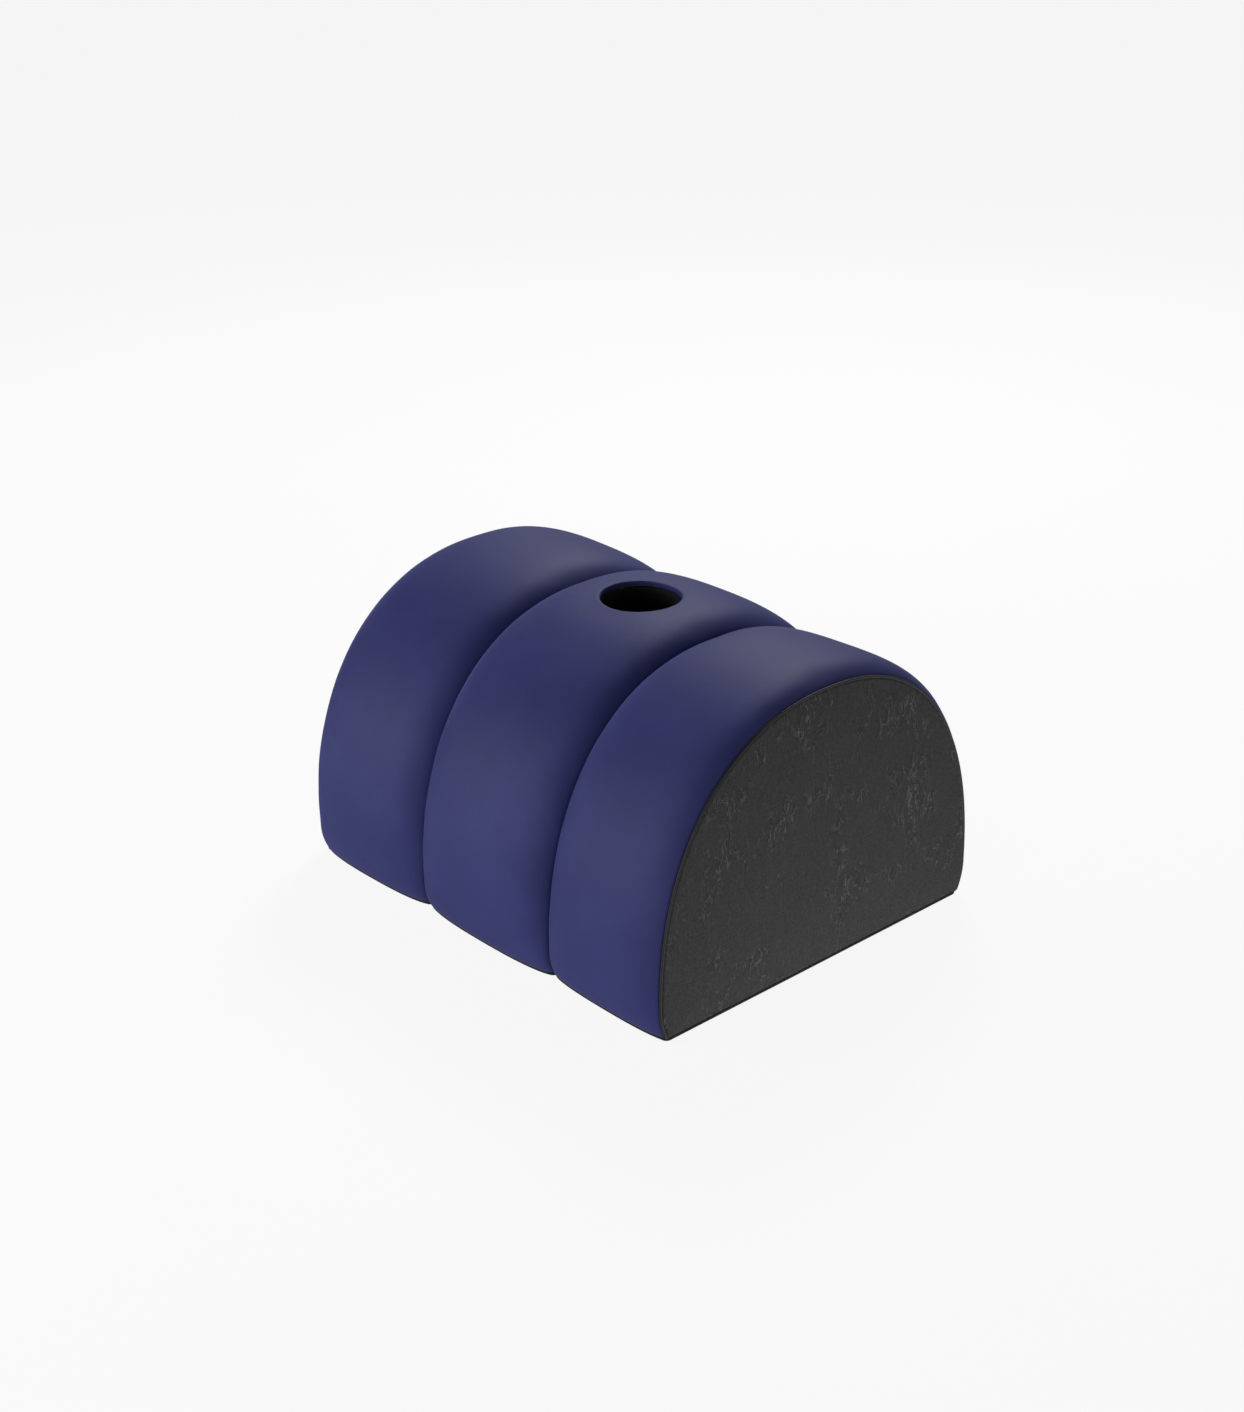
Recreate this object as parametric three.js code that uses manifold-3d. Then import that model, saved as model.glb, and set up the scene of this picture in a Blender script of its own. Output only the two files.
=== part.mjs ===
// Three-lobed half-round floor cushion with a round hole through its middle lobe.
// Millimetres, +Z up. +X runs along the cushion towards its right end, -Y is the front long side.
import * as THREE from 'three';
import { mergeVertices } from 'three/addons/utils/BufferGeometryUtils.js';
import Module from 'manifold-3d';

const manifold = await Module();
manifold.setup();

// ---- driving dimensions ----
const SEAM_HALF_LENGTH = 210; // middle of the cushion to each end seam
const HALF_DEPTH = 172; // half the depth of the end seams' outline
const SEAM_HEIGHT = 237; // height of the end seams' outline
const ARCH_START = 30; // height where the upright side turns into the arch
const ARCH_POWER = 2.25; // 2 is an ellipse, more is squarer
const TUCK_DEPTH = 8; // how far the bottom edge is drawn in, front and back
const TUCK_HEIGHT = 28; // height over which it is drawn in
const GROOVE_LEFT_X = -70;
const GROOVE_RIGHT_X = 84;
const GROOVE_SINK = 3; // the groove seams lie this far below the end outline
const CROWN_POWER = 2.5;
const CROWN_LEFT = 18; // how far each lobe stands above the line between its seams
const CROWN_MIDDLE = 19;
const CROWN_RIGHT = 12;
const FULL_CROWN_HEIGHT = 83; // the front crown grows from half at the floor to full here
const ZIP_BAND_TOP = 57.5; // the back lobes end here, above the zip's flat band
const BACK_FULL_CROWN_HEIGHT = 128;

const GAP = 0.3; // between neighbouring pieces
const COVER_THICKNESS = 2;
const CLOTH_THICKNESS = 1;
const PANEL_THICKNESS = 2;
const END_PANEL_INSET = 2.8;
const END_SEAM_PROUD = 0.6;
const END_SEAM_WIDTH = 1.6;
const CHANNEL_SEAM_DEPTH = 1.3;
const BASE_THICKNESS = 3.3;
const PIPING_RADIUS = 1.5;
const PIPING_HEIGHT = 1.8; // piping's centre above the floor
const PIPING_CORNER_RADIUS = 4;
const COVER_BOTTOM = 3.6; // the cover and its filling end here, above the piping

const HOLE_RADIUS = 33; // clear radius inside the liner
const LINER_THICKNESS = 1.5;
const LINER_BOTTOM = 0.4;
const RIM_RADIUS = 2.6; // rolled edge's own radius
const RIM_RING_RADIUS = 36.2;
const RIM_SINK = 1.8; // rolled edge's centre below the cover's surface

const ZIP_Z = 36; // height of the zip's middle line
const CHAIN = { halfLength: 179.5, width: 5.4, yBack: 168.9, yFront: 171.3 };
const TAPE = { halfLength: 200, inner: 3, outer: 11, yBack: 169.3, yFront: 170.1 };
const PLACKET_WINDOW = { halfLength: 186, halfHeight: 6.5 };
const STOP = { start: 180, end: 183, halfHeight: 4.5, yFront: 171.6 };
const SLIDER = { restX: 168, halfLength: 7.5, noseHalf: 3.2, halfHeight: 4.1, flange: 1, yPlate: 171.7, yTop: 172.9 };
const BRIDGE = { halfLength: 4.7, opening: 3.2, halfHeight: 1.6, yUnder: 175.8, yTop: 177 };
const PULL = { barY: 174.35, barRadius: 0.8, halfWidth: 4, armInner: 2.2, neck: 6.5, length: 28, thickness: 1.2 };
const PULL_EYE_RADIUS = 1.6;
const LABEL = { x: -204, width: 17, bottom: 26, top: 56, yBack: 172, thickness: 0.6 };

const LOBE_STEPS = 8; // stations across each lobe
const ARCH_STEPS = 20;
const ROUND_STEPS = 32;

const lobes = {
  left: { from: -SEAM_HALF_LENGTH, to: GROOVE_LEFT_X, crown: CROWN_LEFT, sinkFrom: 0, sinkTo: GROOVE_SINK },
  middle: {
    from: GROOVE_LEFT_X, to: GROOVE_RIGHT_X, crown: CROWN_MIDDLE, sinkFrom: GROOVE_SINK, sinkTo: GROOVE_SINK,
  },
  right: { from: GROOVE_RIGHT_X, to: SEAM_HALF_LENGTH, crown: CROWN_RIGHT, sinkFrom: GROOVE_SINK, sinkTo: 0 },
};
const grooves = { left: GROOVE_LEFT_X, right: GROOVE_RIGHT_X };
const HOLE_X = (GROOVE_LEFT_X + GROOVE_RIGHT_X) / 2;

// ---- materials ----
const material = (color, roughness, metalness = 0) =>
  () => new THREE.MeshStandardMaterial({ color, roughness, metalness });
const navyCloth = material(0x434574, 0.6);
const blackNubuck = material(0x2f2f2f, 0.85);
const blackCloth = material(0x1c1c1e, 0.9);
const foam = material(0xd9d4c4, 0.95);
const seamThread = material(0x20203a, 0.8);
const zipNylon = material(0x17171a, 0.45);
const zipMetal = material(0x33343a, 0.35, 0.9);
const labelCloth = material(0xdedede, 0.8);

// ---- the cushion's outline and crown ----
// One point of the end seams' outline, its outward normal, and how much of the crown it carries.
function outlinePoint(station) {
  if (station.wall) {
    const rise = Math.max(station.z, 0) / TUCK_HEIGHT;
    const y = station.wall * (HALF_DEPTH - TUCK_DEPTH * (1 - rise) ** 2);
    return { y, z: station.z, ny: station.wall, nz: 0, weight: crownWeight(y, station.z) };
  }
  const rise = SEAM_HEIGHT - ARCH_START;
  const c = Math.abs(Math.cos(station.angle));
  const s = Math.abs(Math.sin(station.angle));
  const y = -Math.sign(Math.cos(station.angle)) * HALF_DEPTH * c ** (2 / ARCH_POWER);
  const z = ARCH_START + rise * s ** (2 / ARCH_POWER);
  const normal = new THREE.Vector2(
    Math.sign(y) * (Math.abs(y) / HALF_DEPTH) ** (ARCH_POWER - 1) / HALF_DEPTH,
    ((z - ARCH_START) / rise) ** (ARCH_POWER - 1) / rise,
  ).normalize();
  return { y, z, ny: normal.x, nz: normal.y, weight: crownWeight(y, z) };
}

function crownWeight(y, z) {
  if (y < 0) return 0.5 + 0.5 * THREE.MathUtils.clamp(z / FULL_CROWN_HEIGHT, 0, 1);
  return THREE.MathUtils.smoothstep(z, ZIP_BAND_TOP, BACK_FULL_CROWN_HEIGHT);
}

const FRONT = -1;
const BACK = 1;
const wallHeights = [-6, 0, 9, 18];
const spring = Math.PI / 60; // an extra station where the arch leaves the upright wall
const archAngles = Array.from({ length: ARCH_STEPS + 1 }, (_, i) => (Math.PI * i) / ARCH_STEPS);
archAngles.splice(1, 0, spring);
archAngles.splice(-1, 0, Math.PI - spring);
const outlineStations = [
  ...wallHeights.map((z) => ({ wall: FRONT, z })),
  ...archAngles.map((angle) => ({ angle })),
  ...wallHeights.toReversed().map((z) => ({ wall: BACK, z })),
];

// Height of the lobed surface above the end outline at x, before the weight.
function crownAt(x) {
  const lobe = Object.values(lobes).find(({ to }) => x <= to) ?? lobes.right;
  const across = THREE.MathUtils.clamp((2 * x - lobe.from - lobe.to) / (lobe.to - lobe.from), -1, 1);
  const sink = THREE.MathUtils.lerp(lobe.sinkFrom, lobe.sinkTo, (across + 1) / 2);
  return lobe.crown * Math.sqrt(1 - Math.abs(across) ** CROWN_POWER) - sink;
}

const ringAt = (x, offsetAt) =>
  outlineStations.map(outlinePoint).map((p) => {
    const offset = offsetAt(p.weight);
    return new THREE.Vector3(x, p.y + p.ny * offset, p.z + p.nz * offset);
  });

// Height of the cover's outer surface above the point x, y of the floor.
function topHeight(x, y) {
  const crown = crownAt(x);
  let low = 0;
  let high = Math.PI;
  for (let i = 0; i < 40; i++) {
    const angle = (low + high) / 2;
    const p = outlinePoint({ angle });
    if (p.y + p.ny * p.weight * crown < y) low = angle;
    else high = angle;
  }
  const p = outlinePoint({ angle: low });
  return p.z + p.nz * p.weight * crown;
}

// ---- solids ----
function toSolid(geometry) {
  geometry.deleteAttribute('normal');
  geometry.deleteAttribute('uv');
  const merged = mergeVertices(geometry);
  return new manifold.Manifold(new manifold.Mesh({
    numProp: 3,
    vertProperties: new Float32Array(merged.attributes.position.array),
    triVerts: new Uint32Array(merged.index.array),
  }));
}

// A skin over rings of points, closed by a fan at each end or joined end to end.
function loft(rings, joined = false) {
  const count = rings[0].length;
  const points = rings.flat();
  const index = [];
  const spans = joined ? rings.length : rings.length - 1;
  for (let i = 0; i < spans; i++) {
    const a = i * count;
    const b = ((i + 1) % rings.length) * count;
    for (let j = 0; j < count; j++) {
      const k = (j + 1) % count;
      index.push(a + j, b + j, b + k, a + j, b + k, a + k);
    }
  }
  if (!joined) {
    const middles = [rings[0], rings.at(-1)].map((ring) =>
      ring.reduce((sum, p) => sum.add(p), new THREE.Vector3()).divideScalar(count));
    const last = (rings.length - 1) * count;
    for (let j = 0; j < count; j++) {
      const k = (j + 1) % count;
      index.push(points.length, j, k, points.length + 1, last + k, last + j);
    }
    points.push(...middles);
  }
  const geometry = new THREE.BufferGeometry().setFromPoints(points);
  geometry.setIndex(index);
  return toSolid(geometry);
}

function block(min, max) {
  const size = max.map((v, i) => v - min[i]);
  const geometry = new THREE.BoxGeometry(...size);
  geometry.translate(...min.map((v, i) => v + size[i] / 2));
  return toSolid(geometry);
}

// An upright cylinder over the floor point x, y.
function post(x, y, radius, bottom, top) {
  const geometry = new THREE.CylinderGeometry(radius, radius, top - bottom, ROUND_STEPS);
  geometry.rotateX(Math.PI / 2);
  geometry.translate(x, y, (bottom + top) / 2);
  return toSolid(geometry);
}

function extrudeUp(shape, bottom, top) {
  const geometry = new THREE.ExtrudeGeometry(shape, { depth: top - bottom, bevelEnabled: false });
  geometry.translate(0, 0, bottom);
  return toSolid(geometry);
}

// A plan drawn in x and z, standing between two depths.
function extrudeBack(shape, yBack, yFront) {
  const geometry = new THREE.ExtrudeGeometry(shape, { depth: yFront - yBack, bevelEnabled: false });
  geometry.rotateX(Math.PI / 2);
  geometry.translate(0, yFront, 0);
  return toSolid(geometry);
}

const FAR = 400; // past every face
const stationsX = Object.values(lobes).flatMap(({ from, to }, i) => {
  const steps = Array.from({ length: LOBE_STEPS + 1 }, (_, k) =>
    THREE.MathUtils.lerp(from, to, (1 + Math.sin(Math.PI * (k / LOBE_STEPS - 0.5))) / 2));
  return i === 0 ? steps : steps.slice(1);
});

// The whole lobed body, its surface moved in by inset, from end seam to end seam.
const lobedBody = (inset) =>
  loft(stationsX.map((x) => ringAt(x, (weight) => weight * crownAt(x) - inset)));

// A sheet across the cushion between two stations, of the outline sunk by sink and moved in by inset.
const crossSheet = (from, to, inset, sink = 0) =>
  loft([from, to].map((x) => ringAt(x, (weight) => -weight * sink - inset)));

const below = (z) => block([-FAR, -FAR, -FAR], [FAR, FAR, z]);
const zipBand = block([-FAR, 0, -FAR], [FAR, FAR, ZIP_BAND_TOP]);
const FOAM_BACK = CHAIN.yBack - GAP; // the filling stops here behind the zip
const zipRebate = block([-FAR, FOAM_BACK, -FAR], [FAR, FAR, ZIP_BAND_TOP + CLOTH_THICKNESS]);
const between = (from, to) => block([from, -FAR, -FAR], [to, FAR, FAR]);

const outerBody = lobedBody(0);
const coverInside = lobedBody(COVER_THICKNESS);
const filling = lobedBody(COVER_THICKNESS + GAP);
const seamSpace = CLOTH_THICKNESS / 2 + GAP; // each side of a groove's middle

// The space of one lobe, clear of the channel walls and the end panels.
function lobeSpan({ from, to }) {
  const clear = (x) => (Math.abs(x) === SEAM_HALF_LENGTH ? GAP : seamSpace);
  return between(from + clear(from), to - clear(to));
}

// ---- assembly ----
const cushion = new THREE.Group();

function addPart(name, solid, makeMaterial) {
  const { vertProperties, triVerts } = solid.getMesh();
  const geometry = new THREE.BufferGeometry();
  geometry.setAttribute('position', new THREE.BufferAttribute(vertProperties, 3));
  geometry.setIndex(new THREE.BufferAttribute(triVerts, 1));
  geometry.computeVertexNormals();
  const mesh = new THREE.Mesh(geometry, makeMaterial());
  mesh.name = name;
  cushion.add(mesh);
}

// Ring of points on the hole's rolled edge, at one angle round the hole.
function rimSection(turn) {
  const outward = new THREE.Vector3(Math.cos(turn), Math.sin(turn), 0);
  const centre = outward.clone().multiplyScalar(RIM_RING_RADIUS).add(new THREE.Vector3(HOLE_X, 0, 0));
  centre.z = topHeight(centre.x, centre.y) - RIM_SINK;
  return sectionRing(centre, outward, RIM_RADIUS, 8);
}

function sectionRing(centre, outward, radius, sides) {
  return Array.from({ length: sides }, (_, i) => {
    const angle = (2 * Math.PI * i) / sides;
    return centre.clone()
      .addScaledVector(outward, radius * Math.cos(angle))
      .add(new THREE.Vector3(0, 0, radius * Math.sin(angle)));
  });
}

const rimSections = Array.from({ length: ROUND_STEPS }, (_, i) => rimSection((2 * Math.PI * i) / ROUND_STEPS));
const rimBottom = Math.min(...rimSections.flat().map((p) => p.z));
const rimOuter = RIM_RING_RADIUS + RIM_RADIUS + GAP;
const linerOuter = HOLE_RADIUS + LINER_THICKNESS;

function addLobes() {
  const shell = outerBody.subtract(coverInside).subtract(below(COVER_BOTTOM)).subtract(zipBand);
  const core = filling.subtract(below(COVER_BOTTOM)).subtract(zipRebate);
  const coverHole = post(HOLE_X, 0, rimOuter, ARCH_START, FAR);
  const bore = post(HOLE_X, 0, linerOuter + GAP, -FAR, FAR);
  const counterbore = post(HOLE_X, 0, rimOuter, rimBottom - GAP, FAR);
  for (const [side, lobe] of Object.entries(lobes)) {
    const span = lobeSpan(lobe);
    const isMiddle = side === 'middle';
    const cover = shell.intersect(span);
    const block = core.intersect(span);
    addPart(`cover_lobe_${side}`, isMiddle ? cover.subtract(coverHole) : cover, navyCloth);
    addPart(`foam_block_${side}`, isMiddle ? block.subtract(bore).subtract(counterbore) : block, foam);
  }
}

function addChannels() {
  for (const [side, x] of Object.entries(grooves)) {
    const from = x - CLOTH_THICKNESS / 2;
    const to = x + CLOTH_THICKNESS / 2;
    const wall = crossSheet(from, to, CHANNEL_SEAM_DEPTH + GAP, GROOVE_SINK);
    const seam = crossSheet(from, to, 0, GROOVE_SINK).subtract(
      crossSheet(from - GAP, to + GAP, CHANNEL_SEAM_DEPTH, GROOVE_SINK));
    addPart(`channel_wall_${side}`,
      wall.subtract(below(COVER_BOTTOM)).subtract(zipRebate), blackCloth);
    addPart(`channel_seam_${side}`,
      seam.subtract(below(COVER_BOTTOM)).subtract(zipBand), seamThread);
  }
}

function addEnds() {
  for (const [side, sign] of Object.entries({ left: -1, right: 1 })) {
    const span = (thickness) => [0, thickness]
      .map((v) => sign * (SEAM_HALF_LENGTH + v)).sort((a, b) => a - b);
    const panel = crossSheet(...span(PANEL_THICKNESS), END_PANEL_INSET);
    const [from, to] = span(END_SEAM_WIDTH);
    const seam = crossSheet(from, to, -END_SEAM_PROUD).subtract(
      crossSheet(from - GAP, to + GAP, END_PANEL_INSET - GAP));
    addPart(`end_panel_${side}`, panel.subtract(below(COVER_BOTTOM)), blackNubuck);
    addPart(`end_seam_${side}`, seam.subtract(below(COVER_BOTTOM)), seamThread);
  }
}

// The floor outline, drawn in by inset: scalloped in front under the lobes, straight at the back and ends.
function floorOutline(inset, cornerRadius) {
  const halfLength = SEAM_HALF_LENGTH + PANEL_THICKNESS - inset;
  const frontY = (x) => {
    const p = outlinePoint({ wall: FRONT, z: 0 });
    return p.y - p.weight * crownAt(x) + inset;
  };
  const endX = halfLength - cornerRadius;
  const front = stationsX.filter((x) => Math.abs(x) < endX).map((x) => new THREE.Vector2(x, frontY(x)));
  const corner = (sx, sy, y, start) => Array.from({ length: 5 }, (_, i) => {
    const angle = start + (Math.PI / 2) * (i / 4);
    return new THREE.Vector2(
      sx * endX + cornerRadius * Math.cos(angle),
      y - sy * cornerRadius + cornerRadius * Math.sin(angle));
  });
  const backY = HALF_DEPTH - TUCK_DEPTH - inset;
  return [
    ...corner(-1, -1, frontY(-endX), Math.PI),
    ...front,
    ...corner(1, -1, frontY(endX), -Math.PI / 2),
    ...corner(1, 1, backY, 0),
    ...corner(-1, 1, backY, Math.PI / 2),
  ];
}

function addBase() {
  const pipingInset = PIPING_RADIUS + GAP / 2;
  const route = floorOutline(pipingInset, PIPING_CORNER_RADIUS);
  const rings = route.map((p, i) => {
    const ahead = route[(i + 1) % route.length];
    const behind = route.at(i - 1);
    const along = ahead.clone().sub(behind).normalize();
    const outward = new THREE.Vector3(along.y, -along.x, 0);
    return sectionRing(new THREE.Vector3(p.x, p.y, PIPING_HEIGHT), outward, PIPING_RADIUS, 6);
  });
  addPart('base_piping', loft(rings, true), blackCloth);

  const panelInset = pipingInset + PIPING_RADIUS + GAP * 2;
  const panel = extrudeUp(new THREE.Shape(floorOutline(panelInset, PIPING_CORNER_RADIUS)), 0, BASE_THICKNESS);
  const hole = post(HOLE_X, 0, linerOuter + GAP, -FAR, FAR);
  addPart('base_panel', panel.subtract(hole), blackCloth);
}

function addHole() {
  addPart('hole_rim', loft(rimSections, true), navyCloth);
  const top = rimBottom - GAP;
  const tube = post(HOLE_X, 0, linerOuter, LINER_BOTTOM, top).subtract(post(HOLE_X, 0, HOLE_RADIUS, -FAR, FAR));
  addPart('hole_liner', tube, blackCloth);
}

function addZip() {
  const insideEnds = SEAM_HALF_LENGTH - GAP;
  const band = block([-insideEnds, 0, COVER_BOTTOM], [insideEnds, FAR, ZIP_BAND_TOP - GAP]);
  const placket = crossSheet(-insideEnds, insideEnds, GAP)
    .subtract(crossSheet(-FAR, FAR, GAP + CLOTH_THICKNESS)).intersect(band);
  const { halfLength, halfHeight } = PLACKET_WINDOW;
  const zipWindow = block([-halfLength, 0, ZIP_Z - halfHeight], [halfLength, FAR, ZIP_Z + halfHeight]);
  addPart('zip_placket', placket.subtract(zipWindow), blackCloth);
  for (const [side, sign] of Object.entries({ lower: -1, upper: 1 })) {
    const [low, high] = [TAPE.inner, TAPE.outer].map((v) => ZIP_Z + sign * v).sort((a, b) => a - b);
    addPart(`zip_tape_${side}`,
      block([-TAPE.halfLength, TAPE.yBack, low], [TAPE.halfLength, TAPE.yFront, high]), blackCloth);
  }
  addPart('zip_chain', block(
    [-CHAIN.halfLength, CHAIN.yBack, ZIP_Z - CHAIN.width / 2],
    [CHAIN.halfLength, CHAIN.yFront, ZIP_Z + CHAIN.width / 2]), zipNylon);
  for (const [side, sign] of Object.entries({ left: -1, right: 1 })) {
    const [from, to] = [STOP.start, STOP.end].map((v) => sign * v).sort((a, b) => a - b);
    addPart(`zip_stop_${side}`, block(
      [from, TAPE.yFront + GAP, ZIP_Z - STOP.halfHeight], [to, STOP.yFront, ZIP_Z + STOP.halfHeight]), zipMetal);
  }
}

// The slider: a plate over the chain, narrow at its nose, with a flange down each side and a bridge on top.
function addSlider() {
  const { restX, halfLength, noseHalf, halfHeight, flange, yPlate, yTop } = SLIDER;
  const plan = new THREE.Shape([
    new THREE.Vector2(restX - halfLength, ZIP_Z - noseHalf),
    new THREE.Vector2(restX - noseHalf, ZIP_Z - halfHeight),
    new THREE.Vector2(restX + halfLength, ZIP_Z - halfHeight),
    new THREE.Vector2(restX + halfLength, ZIP_Z + halfHeight),
    new THREE.Vector2(restX - noseHalf, ZIP_Z + halfHeight),
    new THREE.Vector2(restX - halfLength, ZIP_Z + noseHalf),
  ]);
  let slider = extrudeBack(plan, yPlate, yTop);
  for (const sign of [-1, 1]) {
    const [low, high] = [halfHeight - flange, halfHeight].map((v) => ZIP_Z + sign * v).sort((a, b) => a - b);
    slider = slider.add(block([restX - noseHalf, TAPE.yFront + GAP, low], [restX + halfLength, yTop, high]));
  }
  const bridge = block(
    [restX - BRIDGE.halfLength, yPlate, ZIP_Z - BRIDGE.halfHeight],
    [restX + BRIDGE.halfLength, BRIDGE.yTop, ZIP_Z + BRIDGE.halfHeight]);
  const bridgeOpening = block(
    [restX - BRIDGE.opening, yTop, ZIP_Z - FAR], [restX + BRIDGE.opening, BRIDGE.yUnder, ZIP_Z + FAR]);
  addPart('zip_slider', slider.add(bridge.subtract(bridgeOpening)), zipMetal);
}

// The pull: a bar under the bridge, an arm down each side of it, and a flat tab with an eye.
function addPull() {
  const { barY, barRadius, halfWidth, armInner, neck, length, thickness } = PULL;
  const x = SLIDER.restX;
  const yBack = barY - thickness / 2;
  const yFront = barY + thickness / 2;
  let pull = post(x, barY, barRadius, ZIP_Z - halfWidth, ZIP_Z + halfWidth);
  for (const sign of [-1, 1]) {
    const [low, high] = [armInner, halfWidth].map((v) => ZIP_Z + sign * v).sort((a, b) => a - b);
    pull = pull.add(block([x - neck, yBack, low], [x, yFront, high]));
  }
  pull = pull.add(block([x - length, yBack, ZIP_Z - halfWidth], [x - neck, yFront, ZIP_Z + halfWidth]));
  const eye = new THREE.CylinderGeometry(PULL_EYE_RADIUS, PULL_EYE_RADIUS, 4 * thickness, ROUND_STEPS / 2);
  eye.translate(x - length + 2 * PULL_EYE_RADIUS, barY, ZIP_Z);
  addPart('zip_pull', pull.subtract(toSolid(eye)), zipMetal);
}

function addLabel() {
  addPart('care_label', block(
    [LABEL.x, LABEL.yBack, LABEL.bottom],
    [LABEL.x + LABEL.width, LABEL.yBack + LABEL.thickness, LABEL.top]), labelCloth);
}

addLobes();
addChannels();
addEnds();
addBase();
addHole();
addZip();
addSlider();
addPull();
addLabel();

// The origin is the middle of the whole cushion's footprint, on the floor.
const extent = new THREE.Box3().setFromObject(cushion);
const middle = extent.getCenter(new THREE.Vector3());
cushion.position.set(-middle.x, -middle.y, -extent.min.z);

export default cushion;
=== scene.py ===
"""A three-lobed half-round floor cushion with a round hole through its middle lobe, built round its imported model.

Metres, +Z up; +X runs along the cushion to its right end, and -Y is the front long side.
"""

import math

import bpy
import numpy as np
from mathutils import Matrix, Vector


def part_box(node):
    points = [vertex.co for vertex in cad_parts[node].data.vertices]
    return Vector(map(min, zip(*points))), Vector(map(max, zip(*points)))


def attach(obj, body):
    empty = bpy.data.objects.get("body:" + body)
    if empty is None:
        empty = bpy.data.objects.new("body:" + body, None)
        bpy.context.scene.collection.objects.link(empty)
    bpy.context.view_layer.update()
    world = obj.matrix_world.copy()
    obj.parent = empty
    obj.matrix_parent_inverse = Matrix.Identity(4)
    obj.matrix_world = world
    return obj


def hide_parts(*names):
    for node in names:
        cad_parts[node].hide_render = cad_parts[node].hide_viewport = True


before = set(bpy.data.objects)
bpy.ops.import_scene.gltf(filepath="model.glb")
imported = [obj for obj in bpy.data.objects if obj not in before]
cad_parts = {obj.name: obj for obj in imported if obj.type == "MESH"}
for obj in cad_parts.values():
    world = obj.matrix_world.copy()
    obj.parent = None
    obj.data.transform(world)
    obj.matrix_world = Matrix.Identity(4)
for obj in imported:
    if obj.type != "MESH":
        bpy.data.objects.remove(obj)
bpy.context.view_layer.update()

MM = 0.001

# ---- sizes taken from the frame ----
END_SEAM_PROUD = 0.6 * MM  # how far the end seams stand out of the cover
seam_low, seam_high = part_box("end_seam_right")
HALF_DEPTH = (seam_high.y - seam_low.y) / 2 - END_SEAM_PROUD
SEAM_HEIGHT = seam_high.z - END_SEAM_PROUD
CENTRE_Y = (seam_high.y + seam_low.y) / 2
SEAM_HALF_LENGTH = seam_low.x


def middle(node):
    """The middle of a CAD node's box."""
    low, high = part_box(node)
    return (low + high) / 2


GROOVE_LEFT_X = middle("channel_seam_left").x
GROOVE_RIGHT_X = middle("channel_seam_right").x
LINER_THICKNESS = 1.5 * MM
liner_low, liner_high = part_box("hole_liner")
HOLE_RADIUS = (liner_high.x - liner_low.x) / 2 - LINER_THICKNESS
HOLE_X = middle("hole_liner").x
PIPING_Z = middle("base_piping").z
ZIP_Z = middle("zip_chain").z
BAND_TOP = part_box("zip_placket")[1].z

# ---- shape of the sewn cover ----
ARCH_START = 30 * MM  # the sides are upright up to here
ARCH_POWER = 2.25
TUCK_DEPTH = 8 * MM  # how far the sides draw in at the floor
TUCK_HEIGHT = 28 * MM
GROOVE_SINK = 3 * MM  # the grooves' depth below the end outline
CROWN_POWER = 2.5
FRONT_FULL_CROWN = 120 * MM  # the heights at which a lobe reaches its full crown
BACK_FULL_CROWN = 140 * MM
CLOTH = 1.2 * MM  # thickness of the cover cloth with its backing
SEAM_GAP = 0.6 * MM  # each lobe's edge to the middle of its seam
COVER_BOTTOM = 3.3 * MM  # where the cover meets the corded edge
PANEL_BOTTOM = 2.4 * MM  # where the end panels do
ROLL_RADIUS = 2 * MM  # the cover's rounded turn into the hole
LOBES = {
    "left": dict(x=(-SEAM_HALF_LENGTH, GROOVE_LEFT_X), crown=18 * MM, sink=(0, GROOVE_SINK)),
    "middle": dict(x=(GROOVE_LEFT_X, GROOVE_RIGHT_X), crown=19 * MM, sink=(GROOVE_SINK, GROOVE_SINK)),
    "right": dict(x=(GROOVE_RIGHT_X, SEAM_HALF_LENGTH), crown=12 * MM, sink=(GROOVE_SINK, 0)),
}


# ---- meshes ----
def link(thing):
    """Puts an object into the scene."""
    bpy.context.scene.collection.objects.link(thing)
    return thing


def mesh_piece(name, points, faces, material):
    """A smooth mesh object at the origin from an array of points and one or more arrays of faces."""
    mesh = bpy.data.meshes.new(name)
    blocks = faces if isinstance(faces, list) else [faces]
    mesh.from_pydata(np.asarray(points, float).reshape(-1, 3).tolist(), [], sum((b.tolist() for b in blocks), []))
    mesh.polygons.foreach_set("use_smooth", np.full(len(mesh.polygons), True))
    mesh.materials.append(material)
    mesh.validate()
    return link(bpy.data.objects.new(name, mesh))


def grid_faces(rows, columns, join_rows=False, join_columns=False, start=0):
    """Quads over a rows by columns grid of points, joined end to end where asked."""
    i = np.arange(rows if join_rows else rows - 1)[:, None]
    j = np.arange(columns if join_columns else columns - 1)[None, :]
    up, side = (i + 1) % rows, (j + 1) % columns
    corners = [i * columns + j, i * columns + side, up * columns + side, up * columns + j]
    return start + np.stack(np.broadcast_arrays(*corners), -1).reshape(-1, 4)


def coordinates(mesh):
    """A mesh's vertices as an array."""
    values = np.empty(len(mesh.vertices) * 3, np.float32)
    mesh.vertices.foreach_get("co", values)
    return values.reshape(-1, 3).astype(float)


def modifier(piece, kind, **settings):
    """Adds a modifier with its settings."""
    added = piece.modifiers.new(kind.title(), kind)
    for key, value in settings.items():
        setattr(added, key, value)
    return added


def thicken(piece, thickness):
    """Gives a sheet its thickness, inwards."""
    modifier(piece, "SOLIDIFY", thickness=thickness, offset=-1, use_rim=True)


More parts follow.
